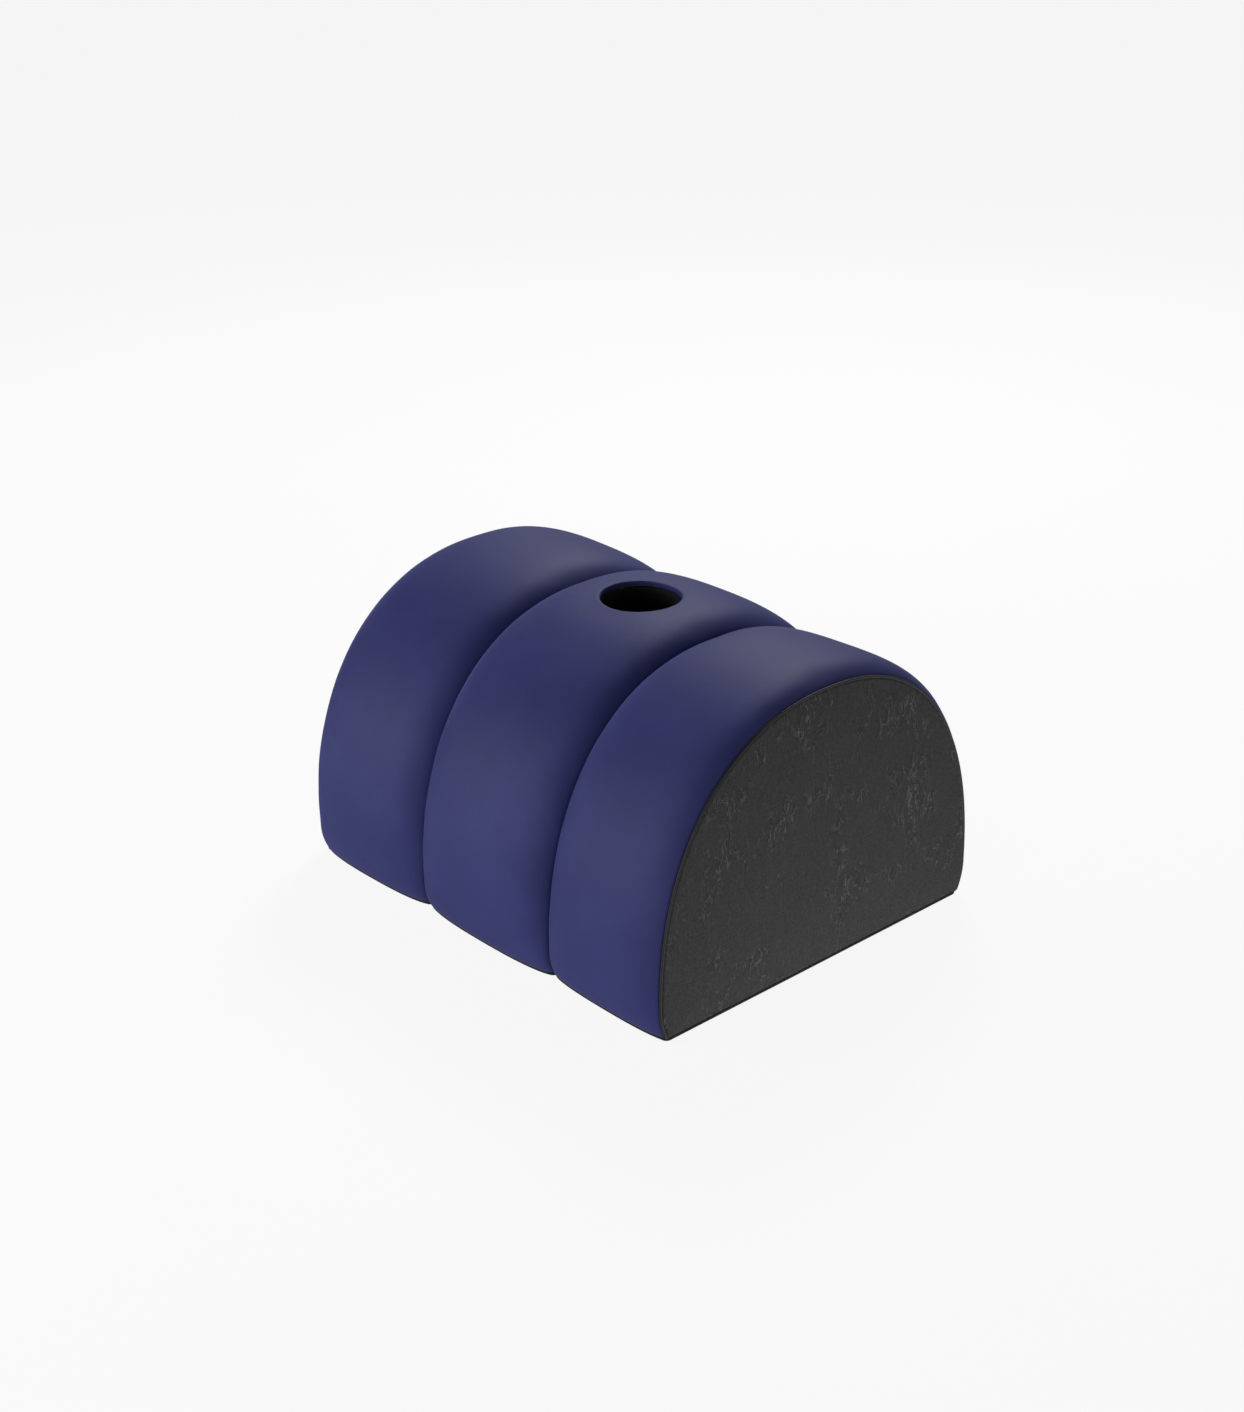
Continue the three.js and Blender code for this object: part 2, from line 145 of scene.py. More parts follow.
def sweep(name, path, radius, sides, material, closed=False):
    """A round cord: a circle of that radius carried along the path, upright to it."""
    path = np.asarray(path, float)
    if closed:
        along = np.roll(path, -1, 0) - np.roll(path, 1, 0)
    else:
        along = np.gradient(path, axis=0)
    along /= np.linalg.norm(along, axis=1)[:, None]
    flattest = np.eye(3)[np.argmin(np.abs(along).max(0))]
    across = np.cross(along, flattest)
    across /= np.linalg.norm(across, axis=1)[:, None]
    rise = np.cross(across, along)
    turn = np.linspace(0, 2 * np.pi, sides, endpoint=False)
    ring = np.cos(turn)[None, :, None] * across[:, None] + np.sin(turn)[None, :, None] * rise[:, None]
    points = path[:, None] + radius * ring
    faces = [grid_faces(len(path), sides, join_rows=closed, join_columns=True)[:, ::-1]]
    if not closed:
        last = (len(path) - 1) * sides
        faces += [np.arange(sides)[None, :], last + np.arange(sides)[None, ::-1]]
    return mesh_piece(name, points, faces, material)


def repeated(name, shape_points, shape_faces, frames, material):
    """One mesh of copies of a small shape. frames is an array of 3 x 4 placements."""
    count = len(shape_points)
    points = np.einsum("nij,pj->npi", frames[:, :, :3], shape_points) + frames[:, None, :, 3]
    faces = [block[None] + (np.arange(len(frames)) * count)[:, None, None] for block in shape_faces]
    return mesh_piece(name, points, [f.reshape(-1, f.shape[-1]) for f in faces], material)


def bead(length, width, height, power=2.6):
    """A closed rounded bead along its first axis: a superellipse of revolution, flattened to width by height."""
    rings, sides = 5, 8
    turn = np.linspace(0, 2 * np.pi, sides, endpoint=False)
    t = np.linspace(-1, 1, rings + 2)[1:-1] * 0.96  # the ends close on a point each
    swell = (1 - np.abs(t) ** power) ** (1 / power)
    body = np.stack(np.broadcast_arrays(
        length / 2 * t[:, None],
        width / 2 * swell[:, None] * np.cos(turn),
        height / 2 * swell[:, None] * np.sin(turn)), -1).reshape(-1, 3)
    points = np.vstack([body, [[-length / 2, 0, 0], [length / 2, 0, 0]]])
    ring = np.arange(sides)
    ahead = (ring + 1) % sides
    last = (rings - 1) * sides
    return points, [
        grid_faces(rings, sides, join_columns=True)[:, ::-1],
        np.stack([np.full(sides, rings * sides), ring, ahead], 1)[:, ::-1],
        np.stack([np.full(sides, rings * sides + 1), last + ahead, last + ring], 1)[:, ::-1],
    ]


def placed(path, outward):
    """3 x 4 placements at points of a path: first axis along it, third axis outward."""
    along = np.gradient(path, axis=0)
    along /= np.linalg.norm(along, axis=1)[:, None]
    across = np.cross(outward, along)
    across /= np.linalg.norm(across, axis=1)[:, None]
    up = np.cross(along, across)
    return np.stack([along, across, up, path], -1)


def stitches(name, rows, material, pitch, thickness):
    """Thread stitches lying along rows, one every pitch, with a gap between them.

    Each row is a path and its outward directions.
    """
    frames = []
    for path, outward in rows:
        step = np.linalg.norm(np.diff(path, axis=0), axis=1)
        distance = np.concatenate([[0], np.cumsum(step)])
        at = np.arange(pitch / 2, distance[-1], pitch)
        even = np.stack([np.interp(at, distance, path[:, k]) for k in range(3)], 1)
        facing = np.stack([np.interp(at, distance, outward[:, k]) for k in range(3)], 1)
        frames.append(placed(even, facing))
    points, faces = bead(0.82 * pitch, thickness, thickness)
    return repeated(name, points, faces, np.concatenate(frames), material)


# ---- the cover's surface ----
def outline_table():
    """The end seams' outline from the front floor edge over the top to the back floor edge.

    Each side stands upright and draws in at the floor by TUCK_DEPTH * (1 - z / TUCK_HEIGHT)^2; between the sides runs
    the superellipse |y / half depth|^n + |(z - start) / rise|^n = 1. Columns: distance along it, y, z, normal y and z.
    """
    wall_z = np.linspace(0, ARCH_START, 120, endpoint=False)
    wall_y = -(HALF_DEPTH - TUCK_DEPTH * np.clip(1 - wall_z / TUCK_HEIGHT, 0, 1) ** 2)
    angle = np.linspace(0, np.pi, 2401)
    rise = SEAM_HEIGHT - ARCH_START
    arch_y = -np.sign(np.cos(angle)) * HALF_DEPTH * np.abs(np.cos(angle)) ** (2 / ARCH_POWER)
    arch_z = ARCH_START + rise * np.abs(np.sin(angle)) ** (2 / ARCH_POWER)
    y = np.concatenate([wall_y, arch_y, -wall_y[::-1]])
    z = np.concatenate([wall_z, arch_z, wall_z[::-1]])
    power = ARCH_POWER - 1
    normal_y = np.sign(y) * (np.minimum(np.abs(y) / HALF_DEPTH, 1)) ** power / HALF_DEPTH
    normal_z = (np.maximum(z - ARCH_START, 0) / rise) ** power / rise
    length = np.hypot(normal_y, normal_z)
    along = np.concatenate([[0], np.cumsum(np.hypot(np.diff(y), np.diff(z)))])
    return np.stack([along, y, z, normal_y / length, normal_z / length], 1)


OUTLINE = outline_table()
OUTLINE_LENGTH = OUTLINE[-1, 0]


def outline(s):
    """y, z, normal y and normal z of the outline at the distances s along it."""
    return [np.interp(s, OUTLINE[:, 0], OUTLINE[:, k]) for k in range(1, 5)]


def distance_at(z, back=False):
    """How far along the outline the front, or back, side reaches the height z."""
    side = (OUTLINE[:, 1] > 0) == back
    rows = OUTLINE[side]
    order = np.argsort(rows[:, 2])
    return np.interp(z, rows[order, 2], rows[order, 0])


def crown_share(y, z):
    """How much of its crown a lobe has: half at the floor in front, none at the zip band behind, all at the top."""
    front = np.clip(z / FRONT_FULL_CROWN, 0, 1)
    back = np.clip((z - BAND_TOP) / (BACK_FULL_CROWN - BAND_TOP), 0, 1)
    return np.where(y < 0, 1 - 0.5 * (1 - front) ** 2, 1 - (1 - back) ** 2)


def lobe_surface(lobe, s, u, drawn_in=0.0, inward=0.0):
    """Points on a lobe: s along the outline, u from -1 to 1 across it.

    The outline is pushed out along its own normal by share * (crown * sqrt(1 - |u|^p) - sink), less inward. drawn_in is
    taken off the middle of the lobe, for the slack shape that is then inflated.
    """
    s, u = np.broadcast_arrays(s, u)
    y, z, normal_y, normal_z = outline(s)
    share = crown_share(y, z)
    sink = lobe["sink"][0] + (lobe["sink"][1] - lobe["sink"][0]) * (u + 1) / 2
    round_over = np.sqrt(np.clip(1 - np.abs(u) ** CROWN_POWER, 0, 1))
    offset = share * (lobe["crown"] * round_over - sink - drawn_in * (1 - u ** 2)) - inward
    low, high = lobe["x"]
    x = (low + high) / 2 + u * ((high - low) / 2 - SEAM_GAP)
    return np.stack([x, CENTRE_Y + y + normal_y * offset, z + normal_z * offset], -1)


def along_at(lobe, x, y, drawn_in):
    """The distance s and the u at which a lobe's top passes over the floor point x, y: Newton's steps on y."""
    low, high = lobe["x"]
    u = (x - (low + high) / 2) / ((high - low) / 2 - SEAM_GAP)
    s = OUTLINE_LENGTH / 2 + (y - CENTRE_Y)
    step = 0.5 * MM
    for _ in range(8):
        here = lobe_surface(lobe, s, u, drawn_in)[..., 1]
        ahead = lobe_surface(lobe, s + step, u, drawn_in)[..., 1]
        s = s + (y - here) * step / (ahead - here)
    return s, u


FOLDS = np.array([2, 4.5, 7.5]) * MM  # depths of the turned-in seam allowance
END_FOLDS, SIDE_FOLDS = 2, 3  # how many of them a lobe has at each end and along each side
ALONG, ACROSS = 168, 45  # points along and across a lobe, without its folds
GRID_ROWS, GRID_COLUMNS = ALONG + 2 * END_FOLDS, ACROSS + 2 * SIDE_FOLDS
HOLE_PATCH = HOLE_RADIUS + 22 * MM  # half the side of the square that makes room for the hole


def lobe_grid(lobe, drawn_in):
    """The lobe's cloth as a grid: rows along the outline, columns across, with its seam allowances turned in."""
    start, end = distance_at(COVER_BOTTOM), distance_at(BAND_TOP, back=True)
    s = np.linspace(start, end, ALONG)
    u = np.sin(np.linspace(-1, 1, ACROSS) * np.pi / 2)
    s = np.concatenate([np.full(END_FOLDS, start), s, np.full(END_FOLDS, end)])
    inward_s = np.concatenate([FOLDS[END_FOLDS - 1::-1], np.zeros(ALONG), FOLDS[:END_FOLDS]])
    u = np.concatenate([np.full(SIDE_FOLDS, -1.0), u, np.full(SIDE_FOLDS, 1.0)])
    inward_u = np.concatenate([FOLDS[::-1], np.zeros(ACROSS), FOLDS])
    return lobe_surface(lobe, s[:, None], u[None, :], drawn_in, inward_s[:, None] + inward_u[None, :])


def hole_window(grid):
    """First and last rows and columns of the square patch of the grid that makes room for the hole."""
    row, column = grid.shape[0] // 2, grid.shape[1] // 2
    columns = np.flatnonzero(np.abs(grid[row, :, 0] - HOLE_X) < HOLE_PATCH)
    above = grid[:, column, 2] > SEAM_HEIGHT / 2
    rows = np.flatnonzero((np.abs(grid[:, column, 1] - CENTRE_Y) < HOLE_PATCH) & above)
    return rows[0], rows[-1], columns[0], columns[-1]


def holed_lobe(lobe, drawn_in):
    """The middle lobe's grid with a square patch replaced by rings that close on the hole and turn down into it.

    The rings run from the patch's edge to a circle one roll radius outside the hole, on the lobe's surface. From there
    the cloth turns down through a quarter circle of the roll radius and goes straight down as its seam allowance.
    """
    grid = lobe_grid(lobe, drawn_in)
    first, last, left, right = hole_window(lobe_grid(lobe, 0.0))
    number = np.arange(GRID_ROWS * GRID_COLUMNS).reshape(GRID_ROWS, GRID_COLUMNS)
    edge = np.concatenate([
        number[first, left:right], number[first:last, right],
        number[last, right:left:-1], number[last:first:-1, left]])
    border = grid.reshape(-1, 3)[edge]
    bearing = np.arctan2(border[:, 1] - CENTRE_Y, border[:, 0] - HOLE_X)
    outward = np.stack([np.cos(bearing), np.sin(bearing)], 1)
    centre = np.array([HOLE_X, CENTRE_Y])
    outer = HOLE_RADIUS + ROLL_RADIUS
    ease = np.linspace(0, 1, 9)[1:, None, None]
    flat = (1 - ease) * border[:, :2] + ease * (centre + outer * outward)
    turn = np.radians([15, 30, 45, 60, 75, 90])
    rolled = centre + (HOLE_RADIUS + ROLL_RADIUS * (1 - np.sin(turn)))[:, None, None] * outward
    drop = ROLL_RADIUS * (1 - np.cos(turn))
    down = np.array([1, 2, 3]) * MM
    plan = np.concatenate([flat, rolled, np.repeat(rolled[-1:], len(down), 0)])
    depth = np.concatenate([np.zeros(len(flat)), drop, drop[-1] + down])
    s, u = along_at(lobe, plan[..., 0], plan[..., 1], drawn_in)
    rings = lobe_surface(lobe, s, u, drawn_in)
    rings[..., :2] = plan
    rings[..., 2] -= depth[:, None]
    points = np.vstack([grid.reshape(-1, 3), rings.reshape(-1, 3)])
    faces = grid_faces(GRID_ROWS, GRID_COLUMNS)
    row_of, column_of = np.divmod(faces[:, 0], GRID_COLUMNS)
    inside = (row_of >= first) & (row_of < last) & (column_of >= left) & (column_of < right)
    count = len(edge)
    base = GRID_ROWS * GRID_COLUMNS
    here = np.arange(count)
    ahead = (here + 1) % count
    collar = np.stack([edge[here], edge[ahead], base + ahead, base + here], 1)
    faces = np.vstack([faces[~inside], collar, grid_faces(len(rings), count, join_columns=True, start=base)])
    pinned = np.zeros(len(points), bool)
    pinned[base + (len(flat) + len(turn) // 2) * count:] = True  # held from halfway round the turn
    return points, faces, pinned


def edge_pins():
    """True for the points of a lobe's grid that are sewn: its folds and the row and column next to them."""
    pinned = np.ones((GRID_ROWS, GRID_COLUMNS), bool)
    pinned[END_FOLDS + 1:-END_FOLDS - 1, SIDE_FOLDS + 1:-SIDE_FOLDS - 1] = False
    return pinned.ravel()


# ---- cloth simulation ----
PUFF_FRAMES = 20
PUFF_PRESSURE = 4.0
PUFF_SLACK = 2.2 * MM  # the slack shape lies this much inside the drawn one
PUFF_CAP = 1.8 * MM  # the furthest that a point may end from the drawn shape
SINK_CAP = 0.5 * MM  # how far the cloth may settle towards its filling
PUFF_CENTRE = 0.35  # outwards is away from the line at this share of the height
SOFTEN_PASSES = 16


def inflated(name, slack, faces, pinned, drawn):
    """Inflates slack cloth held at its pinned points, then keeps each point within PUFF_CAP of the drawn shape."""
    temporary = mesh_piece(name + "_cloth", slack, faces, navy)
    group = temporary.vertex_groups.new(name="sewn")
    group.add(np.flatnonzero(pinned).tolist(), 1.0, "ADD")
    cloth = temporary.modifiers.new("Cloth", "CLOTH")
    settings = cloth.settings
    settings.quality = 5
    settings.mass = 0.2
    settings.tension_stiffness = settings.compression_stiffness = 12
    settings.shear_stiffness = 6
    settings.bending_stiffness = 0.4
    settings.air_damping = 4
    settings.vertex_group_mass = group.name
    settings.use_pressure = True
    settings.uniform_pressure_force = PUFF_PRESSURE
    settings.shrink_min = -0.012
    settings.effector_weights.gravity = 0
    cloth.collision_settings.use_collision = False
    cloth.point_cache.frame_start = 1
    cloth.point_cache.frame_end = PUFF_FRAMES
    scene = bpy.context.scene
    for step in range(1, PUFF_FRAMES + 1):
        scene.frame_set(step)
    evaluated = temporary.evaluated_get(bpy.context.evaluated_depsgraph_get())
    moved = coordinates(evaluated.data)
    scene.frame_set(1)
    bpy.data.objects.remove(temporary)
    shift = moved - drawn
    away = drawn - np.array([0, CENTRE_Y, SEAM_HEIGHT * PUFF_CENTRE])
    away[:, 0] = 0
    away /= np.maximum(np.linalg.norm(away, axis=1), 1e-9)[:, None]
    outwards = (shift * away).sum(1)
    shift += (np.clip(outwards, -SINK_CAP, PUFF_CAP) - outwards)[:, None] * away
    length = np.linalg.norm(shift, axis=1)
    shift *= np.minimum(1, PUFF_CAP / np.maximum(length, 1e-9))[:, None]
    shift[pinned] = 0
    return drawn + soften(shift, faces, pinned)


def soften(values, faces, held):
    """Averages values over each point's neighbours, pass by pass, where a point isn't held."""
    pairs = np.vstack([faces[:, [k, (k + 1) % 4]] for k in range(4)])
    pairs = np.vstack([pairs, pairs[:, ::-1]])
    degree = np.bincount(pairs[:, 0], minlength=len(values)).astype(float)[:, None]
    for _ in range(SOFTEN_PASSES):
        total = np.stack([
            np.bincount(pairs[:, 0], values[pairs[:, 1], k], len(values)) for k in range(3)], 1)
        values = np.where(held[:, None], values, 0.5 * values + 0.5 * total / np.maximum(degree, 1))
    return values


# ---- materials ----
def srgb(code):
    """A hex colour as linear RGBA."""
    value = np.array([int(code[k:k + 2], 16) for k in (1, 3, 5)]) / 255
    return (*np.where(value <= 0.04045, value / 12.92, ((value + 0.055) / 1.055) ** 2.4), 1.0)


def add(tree, kind, inputs=None, output=0, **settings):
    """Adds a shader node and gives back one of its outputs. inputs maps a socket's name or number to a value, or to the
    output that feeds it.

    Map Range takes the value as 0, its old range as 1 and 2 and its new range as 3 and 4. A colour Mix takes its share
    as 0 and its colours as 6 and 7, and gives the colour as output 2.
    """
    node = tree.nodes.new(kind)
    for key, value in settings.items():
        setattr(node, key, value)
    for key, value in (inputs or {}).items():
        if isinstance(value, bpy.types.NodeSocket):
            tree.links.new(value, node.inputs[key])
        else:
            node.inputs[key].default_value = value
    return node.outputs[output] if node.outputs else None


def new_material(name):
    """An empty material, its node tree and the object's own coordinates."""
    material = bpy.data.materials.new(name)
    material.use_nodes = True
    tree = material.node_tree
    tree.nodes.clear()
    return material, tree, add(tree, "ShaderNodeTexCoord", output="Object")


def finish(recipe, name, *codes, **settings):
    """A material: its recipe draws the patterns in the colours of the hex codes, and gives the surface's sockets."""
    material, tree, place = new_material(name)
    colour, rough, bump, constants = recipe(tree, place, *(srgb(code) for code in codes), **settings)
    surface = add(tree, "ShaderNodeBsdfPrincipled", {
        "Base Color": colour, "Roughness": rough, "Normal": bump, **constants})
    add(tree, "ShaderNodeOutputMaterial", {"Surface": surface})
    return material


def velour(tree, place, deep, light, bloom):
    """Warp-knitted velour: a short dense pile, raised and brushed. The pile gives a satin shine and a soft bloom at
    glancing angles.

    Pile tufts are about 0.3 mm wide and would not show, so the grain is drawn at 1.3 mm. Shading patches, where a hand
    has laid the pile over, are 50 to 90 mm wide.
    """
    grain = add(tree, "ShaderNodeTexNoise", {"Vector": place, "Scale": 1 / (1.3 * MM), "Detail": 2.0})
    patches = add(tree, "ShaderNodeTexNoise", {
        "Vector": place, "Scale": 1 / (70 * MM), "Detail": 3.0, "Roughness": 0.55})
    laid = add(tree, "ShaderNodeMapRange", {0: patches, 1: 0.3, 2: 0.7})
    tone = add(tree, "ShaderNodeMix", {0: laid, 6: deep, 7: light}, 2, data_type="RGBA")
    speck = add(tree, "ShaderNodeMapRange", {0: grain, 1: 0.35, 2: 0.75, 3: 0.9})
    colour = add(tree, "ShaderNodeMix", {0: 1.0, 6: tone, 7: speck}, 2, data_type="RGBA", blend_type="MULTIPLY")
    bump = add(tree, "ShaderNodeBump", {"Height": grain, "Strength": 0.22, "Distance": 0.35 * MM})
    rough = add(tree, "ShaderNodeMapRange", {0: patches, 3: 0.56, 4: 0.66})
    return colour, rough, bump, {
        "IOR": 1.5, "Specular IOR Level": 0.2, "Sheen Weight": 0.18, "Sheen Roughness": 0.35, "Sheen Tint": bloom}


def nubuck(tree, place, ground, worn, raised, crease_shade):
    """Microfibre nubuck: buffed matt cloth with a fine grain. In patches 30 to 50 mm wide the nap is rubbed up into
    short slanting creases, raised along one side. Along that side the colour is a painted highlight and along the other
    it is painted shade, standing in for the light and shade that a crease would catch.

    A crease follows the line where a stretched noise passes through its middle value. Real creases are about 0.5 mm
    wide and the grain 0.3 mm. To show, they are drawn 1.2 mm and 2 mm wide.
    """
    turned = add(tree, "ShaderNodeMapping", {
        "Vector": place, "Rotation": (math.radians(-35), 0, 0), "Scale": (1, 1, 0.4)})
    swirl = add(tree, "ShaderNodeTexNoise", {
        "Vector": turned, "Scale": 1 / (5.5 * MM), "Detail": 2.0, "Distortion": 0.6})
    patches = add(tree, "ShaderNodeTexNoise", {
        "Vector": place, "Scale": 1 / (42 * MM), "Detail": 4.0, "Roughness": 0.6})
    rubbed = add(tree, "ShaderNodeMapRange", {0: patches, 1: 0.49, 2: 0.6, 3: 0.08})
    # Two thin lines beside each crease: the first carries a painted highlight, the second painted shade.
    sides = []
    for middle_value in (0.54, 0.46):
        away = add(tree, "ShaderNodeMath", {0: swirl, 1: middle_value}, operation="SUBTRACT")
        distance = add(tree, "ShaderNodeMath", {0: away}, operation="ABSOLUTE")
        line = add(tree, "ShaderNodeMapRange", {0: distance, 1: 0.0, 2: 0.04, 3: 1.0, 4: 0.0})
        sides.append(add(tree, "ShaderNodeMath", {0: line, 1: rubbed}, operation="MULTIPLY"))
    grain = add(tree, "ShaderNodeTexNoise", {
        "Vector": place, "Scale": 1 / (2 * MM), "Detail": 3.0, "Roughness": 0.7})
    buffed = add(tree, "ShaderNodeMapRange", {0: grain, 1: 0.36, 2: 0.64})
    nap = add(tree, "ShaderNodeMix", {0: buffed, 6: ground, 7: worn}, 2, data_type="RGBA")
    # The raised colour is a painted highlight on one side of each crease; the next mix lays painted shade on the other
    # side.
    lit = add(tree, "ShaderNodeMix", {0: sides[0], 6: nap, 7: raised}, 2, data_type="RGBA")
    colour = add(tree, "ShaderNodeMix", {0: sides[1], 6: lit, 7: crease_shade}, 2, data_type="RGBA")
    height = add(tree, "ShaderNodeMath", {0: sides[0], 1: 1.6, 2: grain}, operation="MULTIPLY_ADD")
    bump = add(tree, "ShaderNodeBump", {"Height": height, "Strength": 0.7, "Distance": 0.6 * MM})
    rough = add(tree, "ShaderNodeMapRange", {0: grain, 3: 0.72, 4: 0.88})
    return colour, rough, bump, {"IOR": 1.5, "Specular IOR Level": 0.4, "Sheen Weight": 0.1, "Sheen Roughness": 0.5}


def woven(tree, place, dark, light, spacing, along=(1, 0, 0), across=(0, 0, 1), roughness=0.8):
    """Plain-weave polyester: two sets of threads at that spacing, one along each direction, over and under in turn.

    It looks matt, with a faint fuzz 3 mm wide. Real threads lie at about half the spacings given below, too fine to
    show.
    """
    waves = []
    for direction in (along, across):
        part = add(tree, "ShaderNodeVectorMath", {0: place, 1: direction}, "Value", operation="DOT_PRODUCT")
        angle = add(tree, "ShaderNodeMath", {0: part, 1: math.pi / spacing}, operation="MULTIPLY")
        waves.append(add(tree, "ShaderNodeMath", {0: angle}, operation="SINE"))
    weave = add(tree, "ShaderNodeMath", {0: waves[0], 1: waves[1]}, operation="MULTIPLY")
    height = add(tree, "ShaderNodeMapRange", {0: weave, 1: -1.0})
    fuzz = add(tree, "ShaderNodeTexNoise", {"Vector": place, "Scale": 1 / (3 * MM), "Detail": 3.0})
    tone = add(tree, "ShaderNodeMix", {0: height, 6: dark, 7: light}, 2, data_type="RGBA")
    shade = add(tree, "ShaderNodeMapRange", {0: fuzz, 1: 0.3, 2: 0.8, 3: 0.82})
    colour = add(tree, "ShaderNodeMix", {0: 1.0, 6: tone, 7: shade}, 2, data_type="RGBA", blend_type="MULTIPLY")
    bump = add(tree, "ShaderNodeBump", {"Height": height, "Strength": 0.5, "Distance": 0.25 * spacing})
    rough = add(tree, "ShaderNodeMapRange", {0: fuzz, 3: roughness - 0.06, 4: roughness + 0.06})
    return colour, rough, bump, {"IOR": 1.5, "Specular IOR Level": 0.35, "Sheen Weight": 0.1, "Sheen Roughness": 0.5}


def spun_thread(tree, place, dark, light):
    """Spun polyester thread: fine slanting plies with a dull shine. Real plies are 0.2 mm apart, drawn at 0.5 mm."""
    turned = add(tree, "ShaderNodeMapping", {"Vector": place, "Rotation": (0.6, 0.6, 0.6)})
    plies = add(tree, "ShaderNodeTexWave", {
        "Vector": turned, "Scale": 0.3 / (0.5 * MM), "Distortion": 1.2, "Detail": 1.0}, "Fac")
    colour = add(tree, "ShaderNodeMix", {0: plies, 6: dark, 7: light}, 2, data_type="RGBA")
    bump = add(tree, "ShaderNodeBump", {"Height": plies, "Strength": 0.3, "Distance": 0.1 * MM})
    rough = add(tree, "ShaderNodeMapRange", {0: plies, 3: 0.6, 4: 0.72})
    return colour, rough, bump, {"IOR": 1.5, "Sheen Weight": 0.1}


def open_cell_foam(tree, place, yellowed, fresh):
    """Cut polyurethane foam: pale, matt, pitted with open cells about 1.2 mm across, drawn at 1.6 mm. Painted shade
    darkens the bottom of each pit.
    """
    cells = add(tree, "ShaderNodeTexVoronoi", {"Vector": place, "Scale": 1 / (1.6 * MM)}, feature="F1")
    age = add(tree, "ShaderNodeTexNoise", {"Vector": place, "Scale": 1 / (60 * MM), "Detail": 3.0})
    skin = add(tree, "ShaderNodeMix", {0: age, 6: yellowed, 7: fresh}, 2, data_type="RGBA")
    # Painted shade: the colour is darkened towards the bottom of each cell's pit.
    pit_shade = add(tree, "ShaderNodeMapRange", {0: cells, 1: 0.05, 2: 0.5, 3: 0.7})
    colour = add(tree, "ShaderNodeMix", {0: 1.0, 6: skin, 7: pit_shade}, 2, data_type="RGBA", blend_type="MULTIPLY")
    bump = add(tree, "ShaderNodeBump", {"Height": cells, "Strength": 0.5, "Distance": 0.6 * MM})
    rough = add(tree, "ShaderNodeMapRange", {0: age, 3: 0.88, 4: 0.96})
    return colour, rough, bump, {"IOR": 1.45, "Specular IOR Level": 0.2}


def nylon(tree, place, dark, light):
    """Moulded nylon, dyed black: smooth, with a soft waxy shine and a faint mottle 1.2 mm wide."""
    mottle = add(tree, "ShaderNodeTexNoise", {"Vector": place, "Scale": 1 / (1.2 * MM), "Detail": 2.0})
    colour = add(tree, "ShaderNodeMix", {0: mottle, 6: dark, 7: light}, 2, data_type="RGBA")
    bump = add(tree, "ShaderNodeBump", {"Height": mottle, "Strength": 0.15, "Distance": 0.1 * MM})
    rough = add(tree, "ShaderNodeMapRange", {0: mottle, 3: 0.32, 4: 0.46})
    return colour, rough, bump, {"IOR": 1.53}


def enamelled_zinc(tree, place, enamel, bare):
    """Die-cast zinc, tumbled and black-enamelled: satin, with brighter worn patches 5 mm wide and faint orange peel at
    0.8 mm."""
    peel = add(tree, "ShaderNodeTexNoise", {"Vector": place, "Scale": 1 / (0.8 * MM), "Detail": 2.0})
    wear = add(tree, "ShaderNodeTexNoise", {
        "Vector": place, "Scale": 1 / (5 * MM), "Detail": 4.0, "Roughness": 0.65})
    worn = add(tree, "ShaderNodeMapRange", {0: wear, 1: 0.55, 2: 0.72})
    colour = add(tree, "ShaderNodeMix", {0: worn, 6: enamel, 7: bare}, 2, data_type="RGBA")
    bump = add(tree, "ShaderNodeBump", {"Height": peel, "Strength": 0.12, "Distance": 0.1 * MM})
    rough = add(tree, "ShaderNodeMapRange", {0: wear, 3: 0.28, 4: 0.42})
    return colour, rough, bump, {"Metallic": 0.85}


navy = finish(velour, "navy_velour", "#363972", "#3e417d", "#b9bbdd")
# The nubuck's last two colours are the painted highlight and the painted shade beside its creases.
black_nubuck = finish(nubuck, "black_nubuck", "#1c1c1d", "#363637", "#5a5a5a", "#121212")
base_cloth = finish(woven, "black_base_cloth", "#161617", "#2a2a2c", spacing=1.4 * MM, across=(0, 1, 0))
piping_cloth = finish(woven, "black_piping_cloth", "#101011", "#1e1e20", spacing=0.9 * MM)
liner_cloth = finish(woven, "black_liner_cloth", "#0a0a0b", "#141416", spacing=1.1 * MM)
inner_cloth = finish(woven, "black_inner_cloth", "#1a1a1b", "#2b2b2d", spacing=1.2 * MM, along=(0, 1, 0))
band_cloth = finish(woven, "black_band_cloth", "#1c1c1e", "#303033", spacing=1.0 * MM)
tape_cloth = finish(
    woven, "black_tape_cloth", "#101011", "#26262a", spacing=0.8 * MM, along=(0.7, 0, 0.7), across=(-0.7, 0, 0.7))
label_cloth = finish(woven, "white_label_satin", "#c9c9c6", "#ececea", spacing=0.5 * MM, roughness=0.5)
navy_thread = finish(spun_thread, "navy_thread", "#12122a", "#202248")
black_thread = finish(spun_thread, "black_thread", "#0c0c0d", "#262628")
charcoal_thread = finish(spun_thread, "charcoal_thread", "#202022", "#505054")
foam = finish(open_cell_foam, "open_cell_foam", "#d0c8ac", "#ece8da")
black_nylon = finish(nylon, "black_nylon", "#17171a", "#2c2c30")
black_zinc = finish(enamelled_zinc, "black_enamelled_zinc", "#3c3c41", "#7a7a82")


# ---- pieces ----
def dress(piece, nodes, body="cushion"):
    """Puts a piece on its body, in the place of its CAD nodes."""
    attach(piece, body)
    if nodes:
        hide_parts(*nodes)
    return piece


